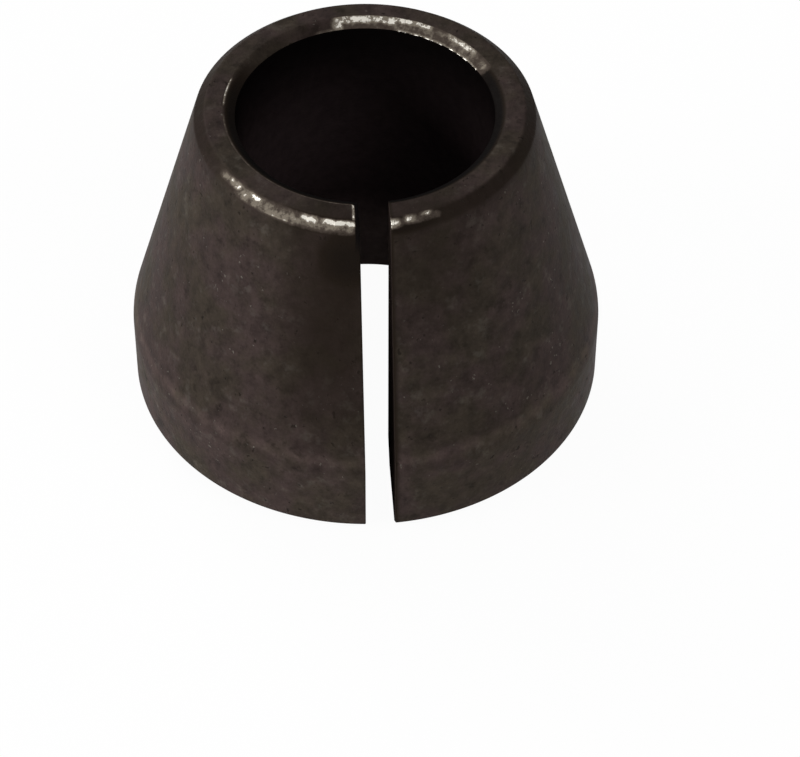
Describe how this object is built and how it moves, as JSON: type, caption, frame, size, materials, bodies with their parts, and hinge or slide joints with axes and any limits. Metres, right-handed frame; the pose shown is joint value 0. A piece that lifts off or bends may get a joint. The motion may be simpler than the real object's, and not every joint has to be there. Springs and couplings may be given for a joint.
{
  "type": "split cone collet",
  "caption": "Tapered steel collet in one piece, with a straight bore, a plain band at its foot and a saw cut through one side, which closes on a cutter's shank.",
  "frame": {"origin": "centre of the foot's face, on the bore's axis", "axes": "+Z along the bore's axis, from the wide foot to the small mouth; the saw cut opens towards -Y; +X is to the right of the saw cut, seen from in front of it"},
  "size_m": [0.0228, 0.0228, 0.017],
  "materials": {
    "black_oxide_steel": "black oxide over turned steel, satin, worn bright along the mouth's edges"
  },
  "bodies": {
    "root": {"collet": "black_oxide_steel"}
  },
  "joints": []
}
